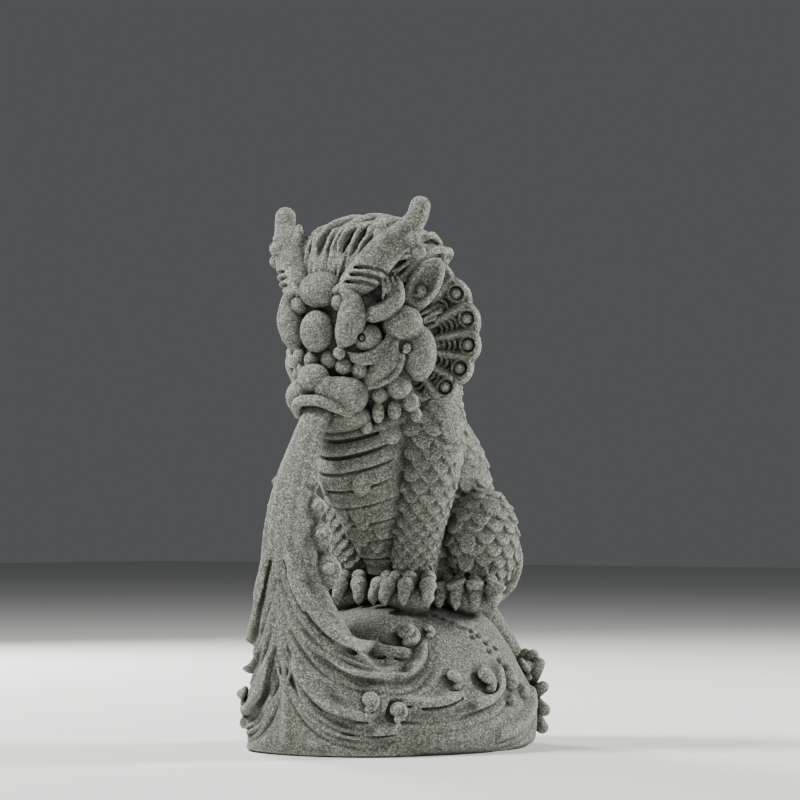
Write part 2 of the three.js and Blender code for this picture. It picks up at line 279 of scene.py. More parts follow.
# %% [markdown]
# ## The wave
#
# The foot is a mound of water. A sheet of water falls from the beast's mouth in front of it and
# spreads into the mound. Both are stacks of ellipses, so a few widths and depths give their shape.

# %%
MOUND = [
    (0, -1, 32.5, 41.5),
    (2.5, -1, 35, 44),
    (12, -1, 35, 44),
    (22, -0.5, 30.4, 39.4),
    (33, 3, 22.5, 28.5),
    (37, 4, 17.5, 22),
    (39.3, 5, 11, 14),
]
SPOUT = [
    (0, -28, 25, 14.5),
    (2.5, -29, 26, 16),
    (18, -33, 23, 12.5),
    (31, -39, 16.5, 8.5),
    (46, -43.5, 10.5, 5),
    (60, -44, 7.4, 4.5),
    (73, -41.5, 5.8, 3.9),
    (82, -38, 4.6, 3.2),
    (93, -32, 4.2, 3.2),
]
stack(MOUND, 0.5)
stack(SPOUT, 3)


def on_water(route, proud=0.0):
    """Points on the water, each given by degrees round from the front and by a height."""
    route = np.asarray(route, float)
    turn, height = np.radians(route[:, 0]), route[:, 1]
    out = np.stack([np.sin(turn), -np.cos(turn), 0 * turn], axis=1)
    axis = np.stack([0 * height, 0 * height, height], axis=1)
    hits = surface(axis + 58 * out, -out)
    return hits + proud * normals_at(hits)


print("the water reaches", round(float(-on_water([(0, 46)])[0, 1]), 1), "mm in front of the middle")

# %% [markdown]
# ## Lips and curls
#
# The mould maker carved each wave as a lip: a raised roll with a dark groove right below it, which
# ends in a spiral. The routes are given in degrees and heights, so that they hug the water whatever
# its shape. The band under each lip is hollow, and fine ridges run along it like combed hair.

# %%
WAVES = [
    # route in degrees and heights, thickness of the roll, and how many fine ridges follow it
    ([(5, 52), (8, 45), (12, 38.4), (17, 33.4), (24, 29.4), (33, 27.6), (43, 27.0)], 1.5, 2),
    ([(3, 47), (7, 39), (12, 31.4), (18, 26.2), (25, 23.0), (34, 21.6), (44, 21.8), (51, 24.2), (54, 28)], 1.7, 3),
    ([(3, 37), (5, 29), (8, 22), (12, 16.6), (18, 12.8), (25, 11.2), (30, 11.2)], 1.5, 2),
    ([(3, 28), (6, 19.6), (11, 12.8), (18, 8.8), (28, 7.2), (39, 7.8)], 1.5, 2),
    ([(42, 11.2), (52, 10.8), (64, 11.4), (76, 12.8), (88, 14.8), (97, 17.4), (102, 21.4)], 1.6, 2),
    ([(44, 14.6), (54, 14.0), (62, 14.6), (68, 16.2)], 1.1, 0),
    ([(92, 4.4), (108, 6.6), (122, 10.2), (132, 15.0)], 1.5, 1),
    ([(150, 6), (160, 9.6), (170, 15), (176, 21)], 1.5, 1),
]


def offset_route(route, drop):
    """A route moved square to itself by a drop in mm, as it lies on the water."""
    route = np.asarray(route, float)
    points = on_water(route)
    reach = np.hypot(points[:, 0], points[:, 1])
    flat = np.stack([np.radians(route[:, 0]) * reach, route[:, 1]], axis=1)
    ahead = np.gradient(flat, axis=0)
    ahead /= np.linalg.norm(ahead, axis=1, keepdims=True)
    moved = flat + drop * np.stack([ahead[:, 1], -ahead[:, 0]], axis=1)
    return np.stack([np.degrees(moved[:, 0] / reach), moved[:, 1]], axis=1)


# The flutes of the falling sheet come first, and the lips run out of them.
FLUTES = 5
FALL = np.array([91, 82, 72, 60, 46, 31, 18, 4])
FALL_WIDTH = np.array([3.6, 4.0, 4.8, 5.6, 6.4, 7.4, 10.5, 18])
for i in range(FLUTES):
    share = (i - (FLUTES - 1) / 2) / ((FLUTES - 1) / 2)
    from_front = np.stack([share * FALL_WIDTH, np.full(len(FALL), -56.0), FALL], axis=1)
    hits = surface(from_front, np.repeat([[0.0, 1.0, 0.0]], len(FALL), axis=0))
    rod(hits + [0, 0.5, 0], [0.6, 1.0, 1.2, 1.4, 1.5, 1.6, 2.2, 1.6], 1.4, sides=(1,))

lips = [on_water(smooth_path(route, 2 * len(route))[0], 0.1) for route, _, _ in WAVES]
hollows = [on_water(offset_route(route, 4.0), 2.4) for route, _, _ in WAVES]
grooves = [on_water(offset_route(route, 1.25 * thick), 0.1) for route, thick, _ in WAVES]
combs = [[on_water(offset_route(route, 4.0 + 1.8 * i), -0.9) for i in range(ridges)] for route, _, ridges in WAVES]
for lip, (_, thick, _) in zip(lips, WAVES):
    rod(lip, [0.8 * thick, thick, thick, thick, 0.95 * thick], 2.0)
for hollow in hollows:
    rod(hollow, [2.4, 3.1, 3.2, 3.2, 2.6], 0.5, cut=True)
for groove, (_, thick, _) in zip(grooves, WAVES):
    rod(groove, [0.4 * thick, 0.55 * thick, 0.6 * thick, 0.55 * thick, 0.3], 0.3, cut=True)
for comb in combs:
    for line in comb:
        rod(line, [0.3, 0.6, 0.6, 0.3], 0.6)
print(len(WAVES), "lips on each side")

# %%
CURLS = [
    # degrees, height, radius, direction of the outer arm in degrees round from ahead, turns
    (45, 31.4, 4.5, -100, 1.35),
    (60, 32.4, 2.6, -100, 0.9),
    (30, 15.0, 3.3, -100, 1.3),
    (40, 12.0, 3.3, -100, 1.3),
    (66, 20.0, 3.6, -80, 1.0),
    (86, 19.6, 4.6, -70, 0.95),
    (16, 44.2, 3.8, -110, 1.1),
    (143, 21, 4.0, -80, 1.2),
    (172, 24, 4.0, -80, 1.2),
]
DROPS = [(108, 18.6, 2.9), (117, 15.4, 2.2), (112, 21.4, 1.8), (103, 13.6, 1.7)]
PITS = [(76, 36.6), (80, 35.8), (86, 34.6), (90, 33.4), (94, 33.0), (99, 32.2), (103, 30.8), (106, 28.8), (104, 26.6), (109, 24.0), (96, 30.6), (113, 27.4)]


def frame_on_water(degrees, height):
    """A point on the water with the directions out of it, ahead round it and up along it."""
    here, ahead, up = on_water([(degrees, height), (degrees + 4, height), (degrees, height + 1.5)])
    out = normals_at(here[None])[0]
    ahead = unit(ahead - here - np.dot(ahead - here, out) * out)
    return here, out, ahead, np.cross(ahead, out) * -1


places = [frame_on_water(degrees, height) for degrees, height, *_ in CURLS]
for (degrees, height, radius, arm, turns), (here, out, ahead, up) in zip(CURLS, places):
    if radius:
        start = math.cos(math.radians(arm)) * ahead + math.sin(math.radians(arm)) * up
        curl(here + 0.45 * out, start, out, radius, turns, thick=0.29, hand=1, proud=0.35, dish=0.34)
for degrees, height, radius in DROPS:
    if radius:
        egg(on_water([(degrees, height)])[0], radius, blend=0.3)
for degrees, height in PITS:
    here = on_water([(degrees, height)], 0.55)[0]
    egg(here, [1.5, 1.5, 1.15], blend=0.25, cut=True)
print(len(CURLS), "curls,", len(DROPS), "drops and", len(PITS), "pits on each side")

# %% [markdown]
# ## Crests
#
# On each edge of the falling sheet the water curls back towards the beast, in a row of crests that
# grow downwards. They're seen from the front quarter, so they face that way.

# %%
CRESTS = [
    # the curls on each edge of the sheet: place and radius
    (6.2, -41.5, 72.5, 2.2),
    (7.2, -41.2, 66, 3.0),
    (8.4, -41, 58.5, 3.6),
    (10.2, -40, 49.4, 4.2),
]
toward = np.array([0.64, -0.77, 0.0])
for x, y, z, radius in CRESTS:
    egg((x - 1.5, y, z - 0.5), [radius, radius * 0.8, radius * 1.2], blend=1.0)
    curl((x, y - 1, z), (0.5, 0.4, -1), toward, radius, 1.2, thick=0.32, proud=0.3)
print(len(CRESTS), "crests on each edge of the sheet")

# %% [markdown]
# ## The trunk and the limbs
#
# The beast sits like a dog. Its body is a few thick rods and eggs, pressed together with a wide
# blend, and its belly is a stack of plates that overlap downwards.

# %%
BELLY_TOP, BELLY_BOTTOM, PLATES = 91.0, 43.0, 9
BELLY_RADII = [12.6, 12.5, 12.0, 10.8, 9.0, 7.0, 6.0]
BELLY_MIDDLES = [-8, -13.6, -15.2, -11.8, -7.8, -3.4, 0]
rod([(0, 3, 97), (0, 9, 84), (0, 14, 74), (0, 15.5, 62), (0, 14, 48), (0, 12, 36)], [13, 14.5, 16.5, 17.5, 17, 14], 2, sides=(1,))
belly = [
    (BELLY_BOTTOM + (BELLY_TOP - BELLY_BOTTOM) * (1 - t), along(BELLY_MIDDLES, t), along(BELLY_RADII, t), along(BELLY_RADII, t))
    for t in np.linspace(1, 0, 7)
]
stack(belly, 2)

# Each plate is a band that swells downwards and ends in a crisp edge over the next one. The edges
# sag in the middle and climb towards the shoulders, more so at the top.
sweep = np.radians(np.linspace(-82, 82, 13))
for i in range(PLATES):
    height = BELLY_TOP - 7.4 - 4.6 * i
    t = (BELLY_TOP - height) / (BELLY_TOP - BELLY_BOTTOM)
    climb = np.interp(i, [0, PLATES - 1], [6.5, 1.5])
    rows = height + climb * (1 - np.cos(sweep))
    shares = (BELLY_TOP - rows) / (BELLY_TOP - BELLY_BOTTOM)
    radii, middles = along(BELLY_RADII, shares), along(BELLY_MIDDLES, shares)
    edge = np.stack([radii * np.sin(sweep), middles - radii * np.cos(sweep), rows], axis=1)
    out = np.stack([np.sin(sweep), -np.cos(sweep), 0 * sweep], axis=1)
    rod(edge - 0.9 * out + [0, 0, 1.3], [1.2, 1.5, 1.5, 1.5, 1.2], 1.6, steps=24, sides=(1,))
    rod(edge + 0.3 * out - [0, 0, 0.2], [0.3, 0.62, 0.62, 0.62, 0.3], 0.2, steps=24, sides=(1,), cut=True)

# %%
FORELEG = [(12.4, -2, 86), (12.4, -3.4, 74), (11.6, -5, 61), (11.2, -6, 50), (11.2, -7.2, 41)]
FORELEG_RADII = [9, 8.8, 6.9, 5.6, 5.4]
egg((10.5, -0.5, 85.5), [10, 12, 12], blend=2)
rod(FORELEG, FORELEG_RADII, 1.2)
egg((18, 14.5, 56.5), [9, 11.5, 14.5], blend=1.2)
egg((19, 10, 41.5), [7.4, 8.6, 4.6], blend=1)
egg((11.6, -9, 41.5), [8, 5, 3.6], blend=1)
print("the belly has", PLATES, "plates")


def toe(root, ahead, size=2.1):
    """Two knuckles and a claw that bends down."""
    forward = unit([ahead[0], ahead[1], 0])
    up = np.array([0, 0, 1.0])

    def place(out, lift):
        return np.asarray(root, float) + size * (out * forward + lift * up)

    rod([place(-2.2, 1.0), place(-0.6, 0.6), place(0.9, -0.7)], [0.9 * size, 0.9 * size, 0.8 * size], 0.3)
    egg(place(-0.45, 1.05), 0.98 * size, blend=0.12)
    egg(place(0.75, 0.05), 1.12 * size, blend=0.12)
    rod([place(1.2, -0.7), place(1.5, -1.5), place(1.4, -2.7)], [0.86 * size, 0.72 * size, 0.1 * size], 0.1)


FRONT_TOES = [(4.6, -11), (9.2, -12.6), (14, -12), (18.4, -9)]
HIND_TOES = [(14.5, 3.6), (18.8, 3.6), (22.8, 5.6), (26, 8.6)]
for x, y in FRONT_TOES:
    toe((x, y, 44.6), (x - 12, -9))
for x, y in HIND_TOES:
    toe((x, y, 43.4), (x - 15, -9))
print(len(FRONT_TOES) + len(HIND_TOES), "toes on each side")

# %% [markdown]
# ## The head
#
# The head is a pile of balls, as on a lion of a temple gate: forehead, bridge, brow, cheeks and
# lips are each a smooth egg, and the dark creases between them draw the face.

# %%
egg((0, -9, 115), [19, 20.5, 23], blend=2, sides=(1,))
egg((0, -11, 128.4), [18.2, 18.8, 14.8], blend=1.5, sides=(1,))
egg((0, -23, 109), [13, 9.6, 15], blend=1.5, sides=(1,))
egg((0, -25, 116), [12.6, 7.4, 12], blend=1.5, sides=(1,))
rod([(0, -4, 100), (0, 4, 92)], [15, 15], 2, sides=(1,))
SKULL = np.array([0.0, -9.0, 122.0])
print("the skull is", round(float(surface(SKULL, [[0, 0, 1]])[0, 2]), 1), "mm high")

# %% [markdown]
# ## Hair
#
# The hair is combed back from the brow over the skull in long locks. Each strand is a thin rod that
# tapers to both ends and lies on the skull, and neighbours differ a little in length, lift and wave.

# %%
def lock(route, centre, radius=0.8, strands=4, spread=1.15, lift=0.3, wave=0.6, sides=SIDES):
    """A lock of hair: strands side by side along a route, on the surface seen from a centre inside."""
    path, shares = smooth_path(route, 12)
    ahead = np.gradient(path, axis=0)
    outward = path - centre
    across = np.cross(ahead, outward)
    across /= np.linalg.norm(across, axis=1, keepdims=True)
    for k in range(strands):
        shift = (k - (strands - 1) / 2) * spread * np.interp(shares, [0, 0.3, 0.8, 1], [0.7, 1, 0.9, 0.25])
        sway = wave * np.sin(shares * 7 + 1.7 * k)
        strand = onto(centre, path + (shift + sway)[:, None] * across, lift + 0.25 * (k % 2))
        rod(strand, np.array([0.35, 1, 1.1, 1, 0.25]) * radius, 0.2, steps=20, sides=sides)


crown = []
for i in range(7):
    x = 1.4 + 2.6 * i
    tilt = np.radians(np.linspace(14 + 3 * i, 168 - 4 * i, 7))
    wide = 1 + 0.12 * np.sin(tilt)
    route = SKULL + np.stack([x * wide, -24 * np.cos(tilt), 22 * np.sin(tilt) * math.cos(x / 26)], axis=1)
    crown.append(route)
for i, route in enumerate(crown):
    lock(route, SKULL, lift=0.1 + 0.4 * (i % 2), wave=0.9)
print(len(crown), "locks on each side of the crown")

# %%
TEMPLES = [
    [(14.5, -22, 131), (17, -15, 135), (17.6, -5, 137), (14, 5, 136), (8, 10, 131)],
    [(17, -20, 127), (19, -13, 131), (18.6, -2, 132), (14, 7, 130), (7, 12, 124)],
    [(18, -17, 122), (19.4, -9, 126), (18, 1, 126), (13, 9, 122), (6, 13, 116)],
    [(18, -12, 116), (19, -4, 119), (16, 5, 118), (10, 11, 113), (4, 14, 106)],
    [(18, -8, 109), (18, 0, 111), (14, 8, 109), (8, 12, 103), (3, 15, 97)],
]
for i, route in enumerate(TEMPLES):
    lock(route, SKULL - [0, 0, 6], radius=0.95, strands=5, spread=1.3, lift=0.5, wave=0.5)
print(len(TEMPLES), "locks on each temple")

# %% [markdown]
# ## The ruff
#
# Behind each cheek stands a fan of fins. Ribs run out from its middle, and between two ribs lies a
# valley with a row of crescent cuts. Each valley ends on the rim in a cup that holds a ball. The fan
# is one height over a disc, so it's easiest to write as a formula in the disc's own angle and radius.

# %%
RUFF_CENTRE = np.array([10.4, -13.5, 109.8])
RUFF_TURN = math.radians(40)
RUFF_OUT = np.array([math.cos(RUFF_TURN), math.sin(RUFF_TURN), 0])
RUFF_AHEAD = np.array([math.sin(RUFF_TURN), -math.cos(RUFF_TURN), 0])
RIB_STEP = 20.0
CRESCENT_STEP = 1.5
RUFF_RIM = 20.8


def rim_at(degrees):
    """The radius of the ruff's rim: it's larger at the top than at the bottom."""
    return RUFF_RIM + 3 * np.sin(np.radians(degrees))


def ruff_field(side):
    """The ruff's distance field on one side."""
    out, ahead = mirrored(RUFF_OUT, side), mirrored(RUFF_AHEAD, side)
    middle = mirrored(RUFF_CENTRE, side)

    def distance(x, y, z):
        px, py, pz = x - middle[0], y - middle[1], z - middle[2]
        u = px * out[0] + py * out[1] + 0 * pz
        w = px * ahead[0] + py * ahead[1] + 0 * pz
        v = pz + 0 * u
        reach = np.hypot(u, v)
        turn = np.degrees(np.arctan2(v, u))
        rim = rim_at(turn)
        # 0 on a rib and 1 in the middle of a valley
        valley = 0.5 + 0.5 * np.cos(np.radians((turn - 0) * 360 / RIB_STEP))
        rib = np.clip(1 - valley * 2.2, 0, 1)
        share = np.clip(reach / rim, 0, 1)
        bowed = reach + 0.035 * reach * (1 - valley) * 2.0
        step = (bowed / CRESCENT_STEP) % 1.0
        pit = np.clip(1 - np.abs(step - 0.45) / 0.33, 0, 1) * np.clip(valley * 1.8 - 0.45, 0, 1)
        pit = pit * (reach > 8.5) * (reach < rim - 3.6)
        top = share * (1.9 * rib - 0.4) + 0.6 - 1.25 * pit - 0.9 * np.clip(valley - 0.2, 0, 1) * share
        sheet = (w - top) * 0.62
        edge = reach - (rim - 1.0 + 1.3 * rib)
        back = -4.4 + 2.2 * share - w
        wedge = np.maximum(turn - 68, -96 - turn) * np.radians(1) * reach
        return np.maximum(np.maximum(sheet, edge), np.maximum(back, wedge))

    return distance


for side in SIDES:
    middle = mirrored(RUFF_CENTRE, side)
    reach = np.array([RUFF_RIM + 4, RUFF_RIM + 4, RUFF_RIM + 4])
    lay(middle - reach, middle + reach, ruff_field(side), 0.3)


def on_ruff(degrees, reach, proud):
    """A point of the ruff by its angle, its distance from the middle and its height over the disc."""
    turn = math.radians(degrees)
    up = np.array([0, 0, 1])
    return RUFF_CENTRE + reach * (math.cos(turn) * RUFF_OUT + math.sin(turn) * up) + proud * RUFF_AHEAD


CUPS = [60, 40, 20, 0, -20, -40]
for degrees in CUPS:
    rim = rim_at(degrees)
    size = 3.0 if degrees < 50 else 2.6
    middle = on_ruff(degrees, rim - 0.4, 0.2)
    egg(middle, size, blend=0.3)
    egg(on_ruff(degrees, rim - 1.2, 1.9), 0.74 * size, blend=0.2, cut=True)
    egg(on_ruff(degrees, rim - 1.0, 0.9), 0.5 * size, blend=0.1)
    for k in range(3):
        arc = [on_ruff(degrees + turn, rim - 0.4 + 1.0 * math.cos(math.radians(turn * 9)), 0.2 + 1.4 - 1.1 * k) for turn in (-9, -5, 0, 5, 9)]
        arc = [point + (0.9 + 0.35 * k) * unit(point - on_ruff(degrees, rim - 3.4, 0)) for point in arc]
        rod(arc, [0.3, 0.6, 0.6, 0.3], 0.2)
print("the ruff has", len(CUPS), "cups on each side")

# %% [markdown]
# ## Ears and horns
#
# An ear is a hollow leaf with a curled ring in it. A horn rises from a wrapped stump over the brow,
# turns out and up to a blunt tip, and carries knobs and one pointed tine.

# %%
EAR_ROOT, EAR_TIP = np.array([19.6, -17.8, 120.0]), np.array([24.6, -11.6, 132.6])
ear_up = unit(EAR_TIP - EAR_ROOT)
ear_out = unit(np.cross(ear_up, np.cross(RUFF_AHEAD, ear_up)))
ear_side = np.cross(ear_up, ear_out)
ear_middle = (EAR_ROOT + EAR_TIP) / 2 - 1.0 * ear_up
egg(ear_middle, [8.4, 4.4, 2.4], axes=[ear_up, ear_side, ear_out], blend=0.3)
rod([ear_middle + 3 * ear_up, EAR_TIP], [3.2, 0.5], 0.4, flat=0.55, across=ear_out)
egg(ear_middle + 0.4 * ear_up + 2.2 * ear_out, [6.4, 2.9, 2.2], axes=[ear_up, ear_side, ear_out], blend=0.3, cut=True)
curl(ear_middle - 1.8 * ear_up + 0.5 * ear_out, -ear_up, ear_out, 2.3, 1.1, thick=0.3, proud=0.2)

HORN = [(10.2, -30.2, 125.6), (12.8, -28.2, 128.6), (16.4, -25.4, 134), (20.4, -23, 138.2), (23.4, -20.4, 142.6), (24.2, -19.4, 146.2)]
rod(HORN, [4.0, 4.9, 4.6, 3.7, 2.9, 2.8], 0.4, steps=28)
rod([(15.0, -25.2, 135), (14.8, -24.6, 139), (14.8, -24.4, 142.4)], [2.3, 1.9, 0.9], 0.8)
KNOBS = [
    # place and radius of each knob of the horn
    (18.6, -28.4, 136.4, 2.2),
    (13.4, -31.4, 130.6, 1.5),
    (24.4, -22.6, 137.2, 2.2),
    (25.6, -21.6, 133.8, 1.9),
    (21.6, -25.6, 139.6, 1.3),
]
for x, y, z, radius in KNOBS:
    egg((x, y, z), radius, blend=0.9)
for i in range(3):
    turn = np.radians(np.linspace(-110, 70, 8))
    middle = np.array([11.0 + 1.3 * i, -28.9 + 0.5 * i, 124.6 + 1.9 * i])
    ring = [middle + 4.7 * (math.cos(a) * unit([0.5, -0.84, 0.25]) + math.sin(a) * unit([-0.85, -0.5, 0.1])) for a in turn]
    rod(ring, [0.4, 0.7, 0.7, 0.4], 0.35, cut=True)
print(len(KNOBS), "knobs on each horn")

# %% [markdown]
# ## The face

# %%
egg((0, -32.0, 124.2), [6.5, 5.2, 5.0], blend=0.3, sides=(1,))
egg((0, -33.4, 113.0), [4.8, 4.8, 5.7], blend=0.2, sides=(1,))
egg((7.2, -32.4, 120.6), 2.5, blend=0.2)
rod([(6.6, -33.6, 123.6), (8.8, -33.2, 124.2), (11.0, -32.2, 121.4), (10.9, -31.9, 116.6), (9.6, -32.2, 112.4), (7.9, -32.8, 109.2)], [1.0, 1.6, 2.4, 4.0, 3.5, 1.1], 0.2, steps=24)
egg((7.2, -32.8, 106.9), 1.7, blend=0.15)
egg((12.0, -26.8, 111.2), 4.0, blend=0.1)
egg((13.0, -30.6, 111.0), 1.3, blend=0.2, cut=True)
egg((12.8, -30.1, 111.0), 0.7, blend=0.1)
for i in range(3):
    drop, size = 1.35 * i, 0.8 - 0.08 * i
    lid = [(8.6, -31.0, 107.2), (12.0, -30.0, 106.3), (15.0, -27.4, 107.4), (17.0, -24.6, 110.8), (16.8, -24.0, 114)]
    rod(np.array(lid) + [0.3 * drop, 0.25 * drop, -0.8 * drop], [0.4, size, size, 0.4], 0.12, steps=20)
rod([(11.0, -29.6, 117.2), (14.6, -27.6, 117.4), (17.6, -25.2, 118.8), (19.3, -23.6, 121.6), (19.2, -22.8, 124.8)], [1.4, 2.4, 2.6, 2.4, 1.6], 0.2, steps=20)
for i in range(4):
    start = np.array([17.0, -26.6, 121.4]) + i * np.array([0.9, 1.1, 0.1])
    rod([start, start + [0.5, 0.3, 2.6], start + [-0.4, 0.2, 5.6]], [0.3, 0.7, 0.4], 0.2)
CHEEKS = [
    # place and radii of the cheek's eggs, and how far each blends into its neighbours
    ((18.2, -19.8, 114.9), (5.6, 5.6, 5.3), 0.3),
    ((20.6, -15.6, 107.2), (4.6, 5.0, 7.6), 0.9),
    ((10.5, -28.2, 102.4), (2.3, 2.3, 2.4), 0.2),
    ((6.8, -30.6, 103.4), (2.3, 2.3, 2.3), 0.2),
    ((3.0, -32.0, 105.4), (2.4, 2.4, 2.5), 0.2),
    ((17.2, -19.9, 98.2), (3.4, 3.4, 3.5), 0.2),
    ((12.8, -22.8, 96.0), (2.2, 2.2, 2.3), 0.2),
    ((12.0, -22.4, 91.2), (1.7, 1.7, 2.9), 0.2),
    ((15.4, -19.6, 91.9), (1.9, 1.9, 2.7), 0.2),
    ((18.8, -17.0, 94.0), (2.3, 2.3, 2.6), 0.2),
    ((18.8, -14.6, 90.6), (1.5, 1.5, 2.0), 0.2),
    ((8.6, -23.4, 87.6), (1.6, 1.6, 2.2), 0.2),
]
for place, radii, blend in CHEEKS:
    egg(place, radii, blend=blend)
rod([(17.7, -22.0, 109.0), (15.9, -23.4, 105.0), (13.2, -25.6, 101.0), (10.8, -27.6, 98.0)], [2.5, 3.6, 2.5, 0.7], 0.15, steps=16)
whisker = [(9.6, -28.6, 97.2), (14.6, -25.2, 98.6), (18.2, -22.6, 101.2), (19.8, -21.8, 105.0), (20.2, -21.8, 107.0)]
rod(whisker, [0.7, 0.9, 0.9, 0.9, 0.8], 0.12, steps=20)
curl((20.9, -21.4, 108.6), (-0.3, -0.2, -0.9), RUFF_AHEAD, 1.9, 0.9, thick=0.33, proud=0.1, dish=0.5)
print(len(CHEEKS), "eggs on each cheek")

# %%
egg((0, -35.0, 100.4), [4.8, 3.6, 3.9], blend=0.25, sides=(1,))
egg((4.9, -34.6, 98.8), [1.8, 2.1, 2.0], blend=0.15)
rod([(3.4, -38.0, 99.9), (4.2, -37.6, 98.4), (4.0, -37.0, 97.0)], [0.5, 0.8, 0.5], 0.2, cut=True)
rod([(3.2, -34.2, 97.6), (7.8, -29.6, 95.7)], [3.0, 5.3], 0.25)
rod([(-9.0, -31.0, 90.9), (-6.6, -34.4, 92.6), (-3, -36.8, 94.2), (3, -36.8, 94.2), (6.6, -34.4, 92.6), (9.0, -31.0, 90.9)], [1.2, 1.5, 1.5, 1.5, 1.5, 1.2], 0.15, sides=(1,))
egg((0, -25.6, 90.2), [10.7, 7.4, 4.4], blend=0.3, sides=(1,))

# %% [markdown]
# ## Scales
#
# A coat of scales covers the limbs and the back. One scale is a thin egg that is tilted so that its
# lower tip stands out of the coat. Rows of them are laid from an axis inside the limb: each scale
# looks outwards from the axis, finds the surface there and lies down on it.

# %%
def scale(centre, fall, across, out, length, width, rise, crown, sides):
    """One scale: a wedge with a round lower edge. Its top sinks into the coat and its tip stands out."""
    for side in sides:
        middle, a, b, n = mirrored(centre, side), mirrored(fall, side), mirrored(across, side), mirrored(out, side)

        def distance(x, y, z, middle=middle, a=a, b=b, n=n):
            px, py, pz = x - middle[0], y - middle[1], z - middle[2]
            s = px * a[0] + py * a[1] + pz * a[2]
            t = px * b[0] + py * b[1] + pz * b[2]
            u = px * n[0] + py * n[1] + pz * n[2]
            rim = (np.hypot(s / length, t / (width / 2)) - 1) * min(length, width / 2)
            face = u - rise * (0.25 + 0.75 * s / length) + crown * t**2
            return np.maximum(np.maximum(rim, face), -u - 1.5) + 0.0

        lay(middle - length - 0.3, middle + length + 0.3, distance, 0.12)


def coat(axis, angles, turn, pitch, widths=(3.4, 6.2), rise=0.75, reach=22.0, ahead=(0, -1, 0), sides=SIDES):
    """Rows of scales round an axis from its first point to its last, between two angles that are
    counted from the direction ahead towards the outside. A turn of degrees parts two neighbours,
    and the rows are a pitch apart, as a share of the width of a scale."""
    path, _ = smooth_path(axis, 60)
    lengths = np.concatenate([[0], np.cumsum(np.linalg.norm(np.diff(path, axis=0), axis=1))])
    spot, row, rows = 1.0, 0, []
    while spot < lengths[-1]:
        here, there = [np.array([np.interp(place, lengths, path[:, k]) for k in range(3)]) for place in (spot, spot + 0.5)]
        down = unit(there - here)
        front = unit(np.asarray(ahead, float) - np.dot(ahead, down) * down)
        outer = unit(np.cross(front, down))
        outer = outer if outer[0] >= 0 else -outer
        looks = [math.radians(a) for a in (20, 60, 100)]
        girths = np.linalg.norm(surface([here] * 3, [math.cos(a) * front + math.sin(a) * outer for a in looks], reach) - here, axis=1)
        width = float(np.clip(math.radians(turn) * np.median(girths) * 1.04, *widths))
        angles_here = np.radians(np.arange(angles[0] + 0.5 * turn * (row % 2), angles[1], turn))
        rays = [math.cos(a) * front + math.sin(a) * outer for a in angles_here]
        rows.append((here, down, rays, width))
        spot += pitch * width
        row += 1
    laid = 0
    placed = []
    for here, down, rays, width in rows:
        hits = surface([here] * len(rays), rays, reach)
        for hit, normal, ray in zip(hits, normals_at(hits, 2.0), rays):
            if np.linalg.norm(hit - here) < reach - 1 and np.dot(normal, ray) > 0.3:
                placed.append((here, down, hit, normal, width))
    for here, down, hit, normal, width in placed:
        fall = unit(down - np.dot(down, normal) * normal)
        girth = max(np.linalg.norm(hit - here), 4.0)
        scale(hit, fall, np.cross(normal, fall), normal, 0.62 * width, width, rise, 0.4 / girth, sides)
    return len(placed)


count = coat([(8, 1, 97), (11, -1, 86), (12, -3.6, 73), (11.6, -5, 61), (11.2, -6, 50)], (-80, 180), 33, 0.5)
count += coat([(12, 15, 76), (15, 14.5, 62), (16.4, 13, 50), (17, 12, 42.5)], (-60, 190), 29, 0.52)
print("the limbs carry", 2 * count, "scales")

# %%
BACK = [(0, 2, 97), (0, 8, 84), (0, 12, 72), (0, 13, 60), (0, 13, 46)]
count = coat(BACK, (66, 180), 19, 0.56, (4.6, 6.0), rise=0.45, reach=26)
print("the back carries", 2 * count, "scales")

# %% [markdown]
# ## The spine, the tail and the tufts

# %%
for i in range(7):
    height = 94 - 6.2 * i
    back = surface([(0, 5, height)], [(0, 1, 0)], 30)[0]
    rod([back + [0, -2.5, 1.5], back + [0, 0.8, 0.4], back + [0, 1.9, 3.6]], [2.3, 1.9, 0.5], 0.3, sides=(1,), flat=0.6, across=(1, 0, 0))
TUFTS = 4
for i in range(TUFTS):
    points = [(22.5 - 2.4 * i, 20 + 2.1 * i, 61 - 2.4 * i), (23.2 - 2.5 * i, 23 + 1.7 * i, 52 - i), (21 - 2.2 * i, 23.6 + i, 45), (18.6 - 1.8 * i, 21 + i, 39.6)]
    rod(points, [1.4, 2.2, 1.9, 0.5], 0.3)
    rod(np.array(points) + [0.9, 1.0, 0.4], [0.3, 0.8, 0.7, 0.2], 0.15)
rod([(0, 24, 46), (3, 31, 36), (9, 36, 26), (15, 37, 17)], [7, 6, 4.4, 3.4], 1.5, sides=(1,))
FINS = [
    # the ribs of the tail's fan: each from its root to its tip, with its radii
    ([(10, 34, 13), (15, 34.4, 19), (18.5, 33.6, 25)], [3, 2.2, 1.6]),
    ([(11, 34.4, 13), (17, 34.6, 18.6), (21.6, 33, 24.6)], [3, 2.4, 1.8]),
    ([(12, 35, 12.6), (19, 34.4, 17.4), (24.2, 32.4, 22.4)], [3, 2.4, 1.8]),
    ([(13, 35.4, 12), (20, 34.6, 14), (25.4, 32.6, 16)], [3, 2.2, 1.7]),
    ([(13, 35.6, 11), (20.4, 34.8, 11), (25.4, 33.2, 9.6)], [3, 2.3, 1.8]),
    ([(12, 36, 10), (19, 35.6, 7.8), (23.6, 34.6, 4.6)], [3, 2.4, 1.8]),
]
for points, radii in FINS:
    rod(points, radii, 0.5, sides=(1,))
print(TUFTS, "tufts on each thigh")

# %% [markdown]
# ## From clay to mesh
#
# The surface is where the distance is nothing. It is cut flat at the foot and turned into polygons,
# and then thinned out until the piece is light enough for a library of parts.

